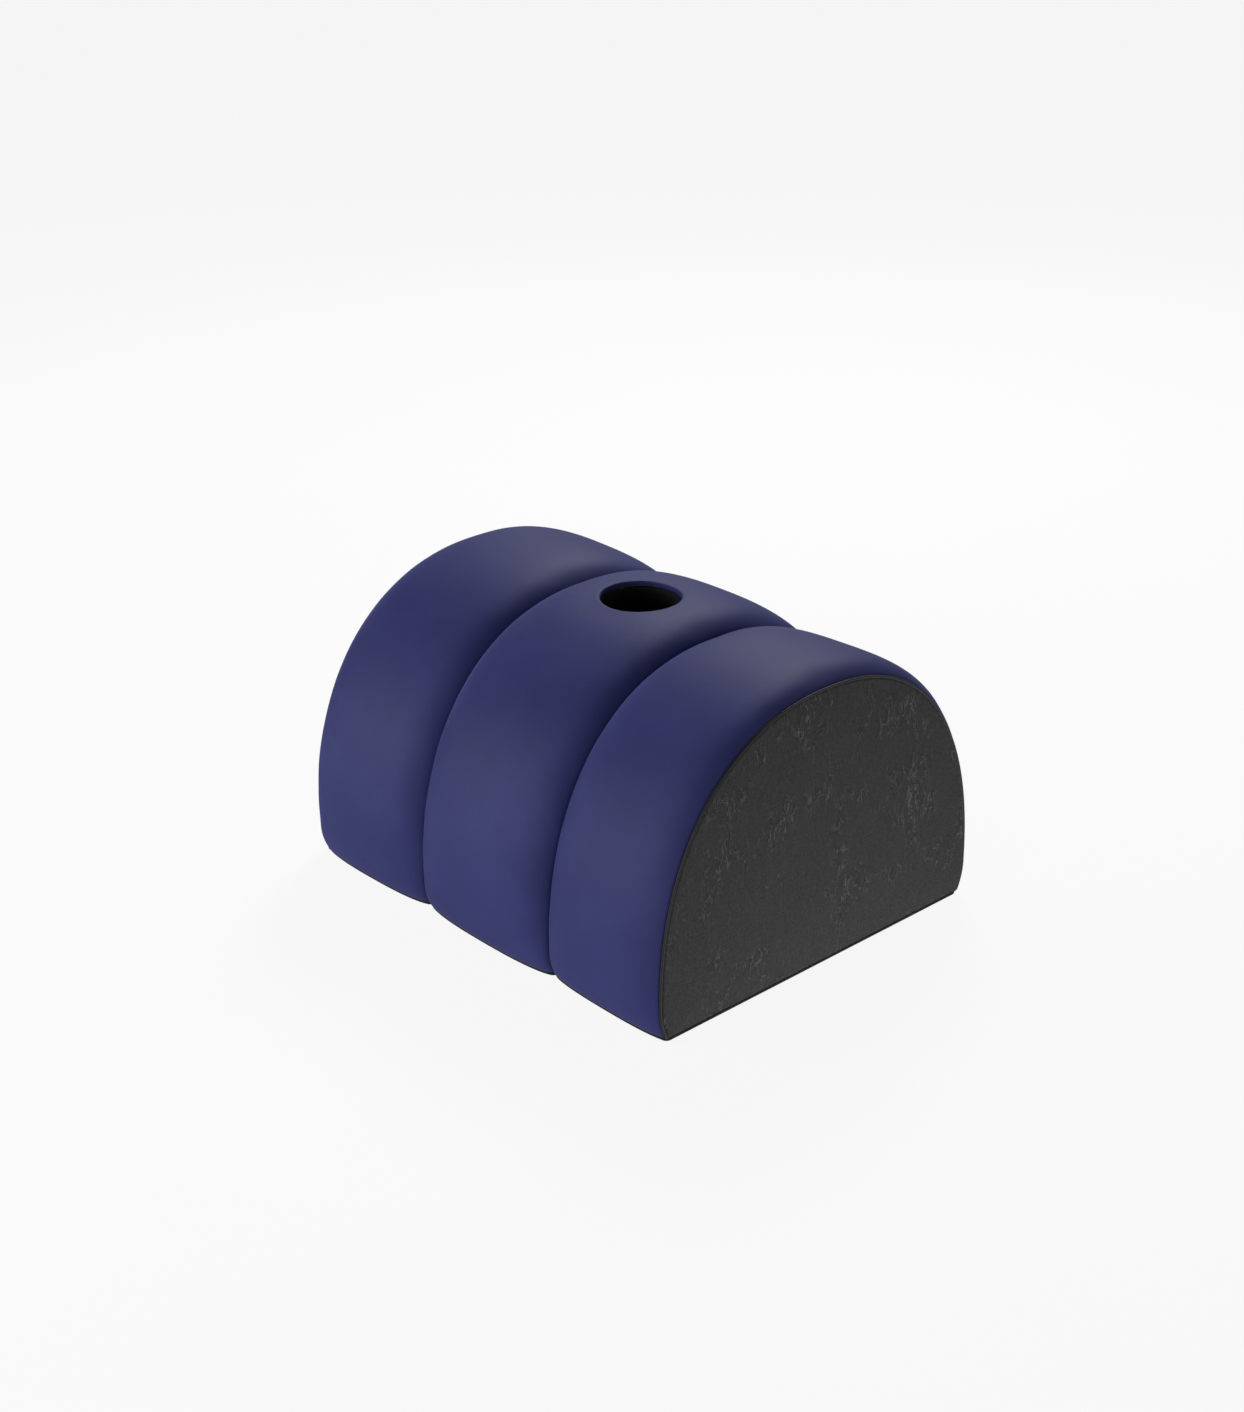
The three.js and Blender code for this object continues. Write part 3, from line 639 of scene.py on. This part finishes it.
def make_lobe(side):
    """One lobe's cover cloth: drawn slack, inflated between its seams, refined, then given its thickness inwards."""
    lobe = LOBES[side]
    name = f"cover_{side}"
    if side == "middle":
        drawn, faces, pinned = holed_lobe(lobe, 0.0)
        slack = holed_lobe(lobe, PUFF_SLACK)[0]
    else:
        drawn = lobe_grid(lobe, 0.0).reshape(-1, 3)
        slack = lobe_grid(lobe, PUFF_SLACK).reshape(-1, 3)
        faces = grid_faces(GRID_ROWS, GRID_COLUMNS)
        pinned = np.zeros(len(drawn), bool)
    pinned[:GRID_ROWS * GRID_COLUMNS] |= edge_pins()
    points = inflated(name, slack, faces, pinned, drawn)
    piece = mesh_piece(name, points, faces, navy)
    modifier(piece, "SUBSURF", levels=1, render_levels=1)
    thicken(piece, CLOTH)
    nodes = [f"cover_lobe_{side}"] + (["hole_rim"] if side == "middle" else [])
    dress(piece, nodes)


def repaint(piece, material):
    """Gives a piece one material."""
    piece.data.materials.clear()
    piece.data.materials.append(material)


def cad_copy(node, name, material):
    """A copy of a CAD piece, to be reshaped."""
    piece = link(bpy.data.objects.new(name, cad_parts[node].data.copy()))
    repaint(piece, material)
    return piece


def make_foam(side):
    """The lobe's foam block: its CAD form with softly rounded cut edges."""
    piece = cad_copy(f"foam_block_{side}", f"foam_{side}", foam)
    modifier(piece, "WELD", merge_threshold=0.01 * MM)
    modifier(piece, "REMESH", mode="VOXEL", voxel_size=4 * MM, use_smooth_shade=True)
    modifier(piece, "SMOOTH", factor=0.6, iterations=6)
    modifier(piece, "DISPLACE", strength=-1.6 * MM, mid_level=0.0)
    bake_modifiers(piece)
    dress(piece, [f"foam_block_{side}"])


def bake_modifiers(piece):
    """Makes the modified mesh the piece's own, so that nothing is left to work out later."""
    evaluated = piece.evaluated_get(bpy.context.evaluated_depsgraph_get())
    mesh = bpy.data.meshes.new_from_object(evaluated)
    piece.modifiers.clear()
    piece.data = mesh
    mesh.polygons.foreach_set("use_smooth", np.full(len(mesh.polygons), True))


def end_outline(inset):
    """The end panel's closed outline in y and z: the arch, then straight back along the floor."""
    s = np.linspace(distance_at(PANEL_BOTTOM), distance_at(PANEL_BOTTOM, back=True), 240)
    y, z, normal_y, normal_z = outline(s)
    arch = np.stack([y - normal_y * inset, np.maximum(z - normal_z * inset, PANEL_BOTTOM)], 1)
    t = np.linspace(0, 1, 98)[1:-1, None]
    return np.vstack([arch, (1 - t) * arch[-1] + t * arch[0]])


END_BULGE = 3.5 * MM  # how far an end panel swells past its edge
END_STANDS_OUT = 1.0 * MM  # its edge, past the end of the lobe
END_RINGS = 46


def make_end(side, sign):
    """An end panel: its outline shrunk ring by ring to the middle, swelling outwards by bulge * (1 - r^3), with the
    seam allowance turned in and a few slow hollows where the cloth is drawn over the foam."""
    edge = end_outline(1.2 * MM)
    centre = np.array([0, SEAM_HEIGHT * 0.42])  # near the middle of the outline's area
    r = np.linspace(0, 1, END_RINGS + 1)[1:] ** 0.85
    flat = centre + r[:, None, None] * (edge - centre)
    y, z = flat[..., 0], flat[..., 1]
    ripple = np.sin(y * 38 + 1.3) * np.sin(z * 31 + 0.4) * 0.5 * MM + np.sin(y * 71 - z * 53) * 0.25 * MM
    swell = (END_BULGE + ripple) * (1 - r[:, None] ** 3)
    rings = np.stack([swell, y, z], -1)
    turned = np.repeat(rings[-1:], 2, 0)
    turned[:, :, 0] = np.array([-2, -5])[:, None] * MM
    turned[:, :, 1:] = centre + 0.994 * (edge - centre)
    rings = np.concatenate([rings, turned])
    edge_x = SEAM_HALF_LENGTH + END_STANDS_OUT
    rings[..., 0] = sign * (edge_x + rings[..., 0])
    rings[..., 1] += CENTRE_Y
    count = len(edge)
    points = np.vstack([rings.reshape(-1, 3), [[sign * (edge_x + END_BULGE), CENTRE_Y, centre[1]]]])
    hub = len(points) - 1
    ring = np.arange(count)
    cap = np.stack([np.full(count, hub), ring, (ring + 1) % count], 1)
    quads = grid_faces(len(rings), count, join_columns=True)
    faces = [cap, quads[:, ::-1]] if sign < 0 else [cap[:, ::-1], quads]
    piece = mesh_piece(f"end_panel_{side}_cloth", points, faces, black_nubuck)
    thicken(piece, CLOTH)
    return dress(piece, [f"end_panel_{side}"])


def make_end_seam(side, sign):
    """The rounded ridge of turned cloth between an end panel and its lobe, carried along the end outline."""
    s = np.linspace(distance_at(COVER_BOTTOM), distance_at(COVER_BOTTOM, back=True), 260)
    y, z, normal_y, normal_z = outline(s)
    x = np.full_like(y, sign * (SEAM_HALF_LENGTH + 0.4 * MM))
    sunk = 0.9 * MM
    path = np.stack([x, CENTRE_Y + y - normal_y * sunk, z - normal_z * sunk], 1)
    piece = sweep(f"end_seam_{side}_ridge", path, 1.1 * MM, 10, black_thread)
    return dress(piece, [f"end_seam_{side}"])


def make_channel_seam(side, x):
    """The line of stitches at the bottom of a groove: the outline, sunk by the groove's depth."""
    s = np.linspace(distance_at(COVER_BOTTOM), distance_at(BAND_TOP, back=True), 400)
    y, z, normal_y, normal_z = outline(s)
    depth = crown_share(y, z) * GROOVE_SINK + 0.8 * MM
    path = np.stack([np.full_like(y, x), CENTRE_Y + y - normal_y * depth, z - normal_z * depth], 1)
    outward = np.stack([np.zeros_like(y), normal_y, normal_z], 1)
    piece = stitches(f"channel_seam_{side}_stitches", [(path, outward)], navy_thread, 3.4 * MM, 0.9 * MM)
    return dress(piece, [f"channel_seam_{side}"])


def make_liner():
    """The hole's cloth tube: a cylinder whose radius adds two sines round it for its soft upright folds, faded out
    towards both ends, with its top edge turned outwards."""
    turn = np.linspace(0, 2 * np.pi, 144, endpoint=False)
    top = liner_high.z - 0.2 * MM
    bottom = liner_low.z + 0.6 * MM
    height = np.concatenate([[top - 2 * MM, top], np.linspace(top - 1 * MM, bottom, 60)])
    fold = (np.sin(5 * turn + 0.7) + 0.6 * np.sin(9 * turn + 2.1))[None, :]
    slack = np.clip((top - height) / (40 * MM), 0, 1) * np.clip((height - bottom) / (25 * MM), 0, 1)
    wander = 1 + 0.3 * np.sin(height * 60)[:, None]
    radius = HOLE_RADIUS + 0.2 * MM + 0.45 * MM * fold * slack[:, None] * wander
    radius[:2] += 1.0 * MM  # the turned edge
    points = np.stack([
        HOLE_X + radius * np.cos(turn), CENTRE_Y + radius * np.sin(turn),
        np.broadcast_to(height[:, None], radius.shape)], -1)
    faces = grid_faces(len(height), len(turn), join_columns=True)
    piece = mesh_piece("hole_liner_tube", points, faces, liner_cloth)
    thicken(piece, 0.8 * MM)
    return dress(piece, ["hole_liner"])


def make_piping():
    """The corded edge round the base: a cord carried round it, along the lobes' lower edges in front, and straight at
    the ends and the back, with quarter circles at the corners."""
    radius = 1.5 * MM
    half_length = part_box("base_piping")[1].x - radius
    corner = 4 * MM
    floor_s = distance_at(COVER_BOTTOM * 0.2)
    front = np.concatenate([
        lobe_surface(lobe, floor_s, np.linspace(-1, 1, 60)[(0 if side == "left" else 1):])
        for side, lobe in LOBES.items()])[:, :2] + [0, radius * 0.8]
    front = front[np.abs(front[:, 0]) < half_length - corner]
    back_y = CENTRE_Y + float(outline(distance_at(PIPING_Z, back=True))[0]) - radius
    turn = np.linspace(0, np.pi / 2, 8)

    def bend(sign, y, start):
        """A quarter circle at a corner, from the angle start."""
        x = sign * (half_length - corner)
        return np.stack([x + corner * np.cos(start + turn), y + corner * np.sin(start + turn)], 1)

    rear = np.linspace(half_length - corner, corner - half_length, 120)[1:-1]
    loop = np.vstack([
        bend(-1, front[0, 1] + corner, np.pi), front, bend(1, front[-1, 1] + corner, -np.pi / 2),
        bend(1, back_y - corner, 0), np.stack([rear, np.full_like(rear, back_y)], 1),
        bend(-1, back_y - corner, np.pi / 2)])
    path = np.column_stack([loop, np.full(len(loop), PIPING_Z)])
    piece = sweep("base_piping_cord", path, radius, 12, piping_cloth, closed=True)
    return dress(piece, ["base_piping"])


def make_band():
    """The flat band that holds the zip: the outline's back side from the floor to the lobes, 0.5 mm inside it, with a
    window for the zip. The cloth is turned under at the window and rises by the root of the nearness to it. Away from
    it a sine along the band puckers the cloth."""
    window_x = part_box("zip_stop_right")[1].x + 3 * MM
    window_half = 6.5 * MM
    half_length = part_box("zip_placket")[1].x
    s_bottom, s_top = distance_at(COVER_BOTTOM, back=True), distance_at(BAND_TOP, back=True)
    s_low = distance_at(ZIP_Z - window_half, back=True)
    s_high = distance_at(ZIP_Z + window_half, back=True)
    s = np.concatenate([
        np.linspace(s_bottom, s_low, 16), np.linspace(s_low, s_high, 7)[1:-1], np.linspace(s_high, s_top, 9)])
    inner = np.linspace(-window_x, window_x, 221)
    side = np.linspace(window_x, half_length, 15)[1:]
    x = np.concatenate([-side[::-1], inner, side])
    y, z, normal_y, normal_z = outline(s)
    beyond_x = np.maximum(np.abs(x)[None, :] - window_x, 0)
    beyond_z = np.maximum(np.abs(z - ZIP_Z)[:, None] - window_half, 0)
    from_window = np.hypot(beyond_x, beyond_z)
    raised = 0.35 * MM * np.clip(1 - from_window / (6 * MM), 0, 1) ** 0.5 - 0.5 * MM
    pucker = 0.25 * MM * np.sin(x[None, :] / (17 * MM)) * np.clip(from_window / (8 * MM), 0, 1)
    offset = raised + pucker
    points = np.stack(np.broadcast_arrays(
        x[None, :], CENTRE_Y + (y[:, None] + normal_y[:, None] * offset), z[:, None] + normal_z[:, None] * offset), -1)
    faces = grid_faces(len(s), len(x))[:, ::-1]
    middles = points.reshape(-1, 3)[faces].mean(1)
    inside = (np.abs(middles[:, 0]) < window_x) & (np.abs(middles[:, 2] - ZIP_Z) < window_half)
    piece = mesh_piece("zip_band", points, faces[~inside], band_cloth)
    thicken(piece, 0.9 * MM)
    dress(piece, ["zip_placket"])
    rows = []
    for out in (2.2 * MM, 5.0 * MM):
        wide, tall = window_x + out, window_half + out
        run = np.linspace(-wide, wide, 400)
        climb = np.linspace(-tall, tall, 24)
        for line in (
                np.stack([run, np.full_like(run, ZIP_Z - tall)], 1),
                np.stack([run, np.full_like(run, ZIP_Z + tall)], 1),
                np.stack([np.full_like(climb, -wide), ZIP_Z + climb], 1),
                np.stack([np.full_like(climb, wide), ZIP_Z + climb], 1)):
            y, z, normal_y, normal_z = outline(distance_at(line[:, 1], back=True))
            path = np.stack([line[:, 0], CENTRE_Y + y - 0.05 * MM, z], 1)
            outward = np.stack([np.zeros_like(y), normal_y, normal_z], 1)
            rows.append((path, outward))
    topstitching = stitches("zip_band_topstitching", rows, charcoal_thread, 3.0 * MM, 0.5 * MM)
    return dress(topstitching, [])


TOOTH_LENGTH = 3.7 * MM


def make_chain():
    """The zip's teeth: two rows of rounded moulded teeth that mesh, one pitch apart and half a pitch out of step."""
    low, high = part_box("zip_chain")
    pitch = 2.4 * MM
    reach, thickness = (high.z - low.z) / 2, high.y - low.y
    points, faces = bead(TOOTH_LENGTH, 1.45 * MM, thickness, power=4)
    x = np.arange(low.x + pitch / 2, high.x - pitch / 4, pitch)
    frames = []
    for sign, shift in ((1, 0), (-1, pitch / 2)):
        at = np.zeros((len(x), 3, 4))  # a tooth's length lies along z, its width along x and its height along y
        at[:, 2, 0] = sign
        at[:, 0, 1] = sign
        at[:, 1, 2] = 1
        at[:, 0, 3] = np.minimum(x + shift, high.x - pitch / 4)
        at[:, 1, 3] = middle("zip_chain").y
        at[:, 2, 3] = ZIP_Z + sign * (reach - TOOTH_LENGTH / 2)
        frames.append(at)
    piece = repeated("zip_teeth", points, faces, np.concatenate(frames), black_nylon)
    return dress(piece, ["zip_chain"])


def make_tape(side, sign):
    """One of the zip's tapes: a strip whose inner edge lies under the teeth, and whose outer part waves in a sine as it
    passes behind the band."""
    low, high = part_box(f"zip_tape_{side}")
    x = np.linspace(low.x, high.x, 321)
    reach = np.linspace(0.9 * MM, (high.z - low.z) + 3 * MM, 14)
    loose = np.clip((reach - 4 * MM) / (8 * MM), 0, 1)[:, None]
    wave = 0.18 * MM * loose * np.sin(x / (9 * MM) + 0.8 * sign)[None, :]
    points = np.stack(np.broadcast_arrays(x[None, :], high.y + wave, ZIP_Z + sign * reach[:, None]), -1)
    faces = grid_faces(len(reach), len(x))
    piece = mesh_piece(f"zip_tape_{side}_cloth", points, faces[:, ::-1] if sign > 0 else faces, tape_cloth)
    thicken(piece, high.y - low.y)
    return dress(piece, [f"zip_tape_{side}"])


def make_underlay():
    """The fly behind the zip, which keeps its teeth off the foam: a strip folded by a sine along it times a cosine
    across it."""
    low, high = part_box("zip_chain")
    x = np.linspace(low.x - 5 * MM, high.x + 5 * MM, 181)
    z = np.linspace(ZIP_Z - 10 * MM, ZIP_Z + 10 * MM, 9)
    fold = 0.15 * MM * np.sin(x / (13 * MM))[None, :] * np.cos((z - ZIP_Z) / (5 * MM))[:, None]
    points = np.stack(np.broadcast_arrays(x[None, :], low.y - 0.4 * MM + fold, z[:, None]), -1)
    piece = mesh_piece("zip_underlay", points, grid_faces(len(z), len(x))[:, ::-1], inner_cloth)
    thicken(piece, 0.4 * MM)
    return dress(piece, [])


def rounded_copy(node, name, material, radius, body):
    """A CAD piece with its sharp edges rounded to a radius."""
    piece = cad_copy(node, name, material)
    modifier(piece, "WELD", merge_threshold=0.005 * MM)
    modifier(piece, "BEVEL", width=radius, segments=3, limit_method="ANGLE", angle_limit=math.radians(35))
    bake_modifiers(piece)
    return dress(piece, [node], body)


def make_label():
    """A blank satin label sewn into the band's top seam: a strip that lifts by the square of the distance down it."""
    low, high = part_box("care_label")
    across = np.linspace(0, 1, 18)
    down = np.linspace(0, 1, 28)
    lift = 0.35 * MM * down[:, None] ** 2 * (1 + 0.4 * np.sin(across * 7)[None, :])
    points = np.stack(np.broadcast_arrays(
        low.x + (high.x - low.x) * across[None, :], low.y + 0.1 * MM + lift,
        high.z - (high.z - low.z) * down[:, None]), -1)
    piece = mesh_piece("blank_care_label", points, grid_faces(len(down), len(across)), label_cloth)
    thicken(piece, 0.35 * MM)
    return dress(piece, ["care_label"])


# ---- camera, light, floor ----
AZIMUTH, ELEVATION, ROLL = (math.radians(a) for a in (47.62, 24.43, -0.47))
CAMERA_DISTANCE = 1.9005
CAMERA_ASIDE = (-11.3 * MM, 30.5 * MM)  # right of and above the middle of the end outline
LENS = 58.84  # millimetres, on a 36 mm sensor


def towards(azimuth, elevation):
    """The direction from the cushion to a place at that azimuth, from -Y towards +X, and elevation, in radians."""
    return Vector((
        math.sin(azimuth) * math.cos(elevation), -math.cos(azimuth) * math.cos(elevation), math.sin(elevation)))


def make_camera():
    """A camera that looks back from its place to the middle of the end outline, turned by ROLL about its own axis."""
    back = towards(AZIMUTH, ELEVATION)
    level = Vector((0, 0, 1)).cross(back).normalized()
    upright = back.cross(level)
    right = math.cos(ROLL) * level + math.sin(ROLL) * upright
    up = math.cos(ROLL) * upright - math.sin(ROLL) * level
    aim = Vector((0, CENTRE_Y, SEAM_HEIGHT / 2))
    place = aim + back * CAMERA_DISTANCE + right * CAMERA_ASIDE[0] + up * CAMERA_ASIDE[1]
    camera = link(bpy.data.objects.new("camera", bpy.data.cameras.new("camera")))
    camera.data.lens = LENS
    camera.data.sensor_width = 36
    camera.matrix_world = Matrix((
        (right.x, up.x, back.x, place.x), (right.y, up.y, back.y, place.y),
        (right.z, up.z, back.z, place.z), (0, 0, 0, 1)))
    bpy.context.scene.camera = camera


FLOOR_BOUNCE = 0.24  # light that comes up from the floor
SKY_LIGHT = 0.06  # and down from the room
SOFTBOXES = {  # azimuth and elevation in degrees, distance and side in metres, watts
    "front_softbox": (-32, 10, 2.2, 1.2, 24),
    "low_fill": (18, 3, 2.2, 1.2, 12),
    "back_softbox": (214, 46, 2.2, 0.8, 30),
    "side_softbox": (125, 8, 2.2, 1.0, 4),
    "floor_glow": (100, -30, 0.75, 0.5, 2.0),
}


def softbox(name, azimuth, elevation, distance, size, power):
    """A large soft square light that faces the cushion from a direction."""
    direction = towards(math.radians(azimuth), math.radians(elevation))
    lamp = link(bpy.data.objects.new(name, bpy.data.lights.new(name, "AREA")))
    lamp.data.size = size
    lamp.data.energy = power
    lamp.location = direction * distance + Vector((0, 0, SEAM_HEIGHT / 2))
    lamp.rotation_euler = direction.to_track_quat("Z", "Y").to_euler()
    lamp.visible_camera = False


STUDIO_RADIUS = 14.0  # metres of flat floor
STUDIO_CURVE = 5.0  # radius of the sweep from the floor up to the wall
WALL_RISE = 6.0
FLOOR_GAP = 0.2 * MM  # the floor lies this much below the cushion
STUDIO_GLOW = 0.905  # the floor's own light, so that it stays pale and even


def make_studio():
    """A pale floor that sweeps up into a round wall: a circle, a quarter arc and a straight rise, turned about +Z."""
    arc = np.linspace(0, np.pi / 2, 25)
    flat = np.linspace(0.001, STUDIO_RADIUS, 12)
    reach = np.concatenate([flat, STUDIO_RADIUS + STUDIO_CURVE * np.sin(arc[1:])])
    rise = np.concatenate([np.zeros(len(flat)), STUDIO_CURVE * (1 - np.cos(arc[1:]))]) - FLOOR_GAP
    reach, rise = np.append(reach, reach[-1]), np.append(rise, rise[-1] + WALL_RISE)
    turn = np.linspace(0, 2 * np.pi, 96, endpoint=False)
    points = np.stack(np.broadcast_arrays(
        reach[:, None] * np.cos(turn), reach[:, None] * np.sin(turn), rise[:, None]), -1)
    paint, tree, place = new_material("studio_paint")
    mottle = add(tree, "ShaderNodeTexNoise", {"Vector": place, "Scale": 3.0, "Detail": 2.0})
    colour = add(tree, "ShaderNodeMix", {0: mottle, 6: srgb("#4e4e4e"), 7: srgb("#525252")}, 2, data_type="RGBA")
    shader = add(tree, "ShaderNodeBsdfPrincipled", {
        "Base Color": colour, "Roughness": 1.0, "Specular IOR Level": 0.0,
        "Emission Color": (1, 1, 1, 1), "Emission Strength": STUDIO_GLOW})
    seen_from_below = add(tree, "ShaderNodeNewGeometry", output="Backfacing")
    clear = add(tree, "ShaderNodeBsdfTransparent")
    one_sided = add(tree, "ShaderNodeMixShader", {0: seen_from_below, 1: shader, 2: clear})
    add(tree, "ShaderNodeOutputMaterial", {"Surface": one_sided})
    faces = grid_faces(len(reach), len(turn), join_columns=True)[:, ::-1]
    floor = mesh_piece("studio_floor", points, faces, paint)
    floor.visible_diffuse = floor.visible_glossy = floor.visible_shadow = False
    world = bpy.data.worlds.new("studio")
    bpy.context.scene.world = world
    world.use_nodes = True
    tree = world.node_tree
    tree.nodes.clear()
    height = add(tree, "ShaderNodeSeparateXYZ", {0: add(tree, "ShaderNodeTexCoord", output="Generated")}, "Z")
    strength = add(tree, "ShaderNodeMapRange", {0: height, 1: -0.1, 2: 0.1, 3: FLOOR_BOUNCE, 4: SKY_LIGHT})
    glow = add(tree, "ShaderNodeBackground", {"Color": (1, 1, 1, 1), "Strength": strength})
    add(tree, "ShaderNodeOutputWorld", {"Surface": glow})
    for name, placing in SOFTBOXES.items():
        softbox(name, *placing)
    bpy.context.scene.view_settings.view_transform = "Standard"


for lobe_side in LOBES:
    make_lobe(lobe_side)
    make_foam(lobe_side)
for end_side, end_sign in (("left", -1), ("right", 1)):
    make_end(end_side, end_sign)
    make_end_seam(end_side, end_sign)
# A CAD piece whose own shape is right keeps it, and is only repainted.
for groove_side, groove_x in (("left", GROOVE_LEFT_X), ("right", GROOVE_RIGHT_X)):
    make_channel_seam(groove_side, groove_x)
    repaint(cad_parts[f"channel_wall_{groove_side}"], inner_cloth)
    repaint(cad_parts[f"zip_stop_{groove_side}"], black_zinc)
make_liner()
make_piping()
make_band()
make_chain()
rounded_copy("zip_slider", "zip_slider_cast", black_zinc, 0.35 * MM, "zip_slider_body")
rounded_copy("zip_pull", "zip_pull_tab", black_zinc, 0.3 * MM, "zip_pull_body")
make_label()
repaint(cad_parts["base_panel"], base_cloth)
make_tape("upper", 1)
make_tape("lower", -1)
make_underlay()
make_camera()
make_studio()
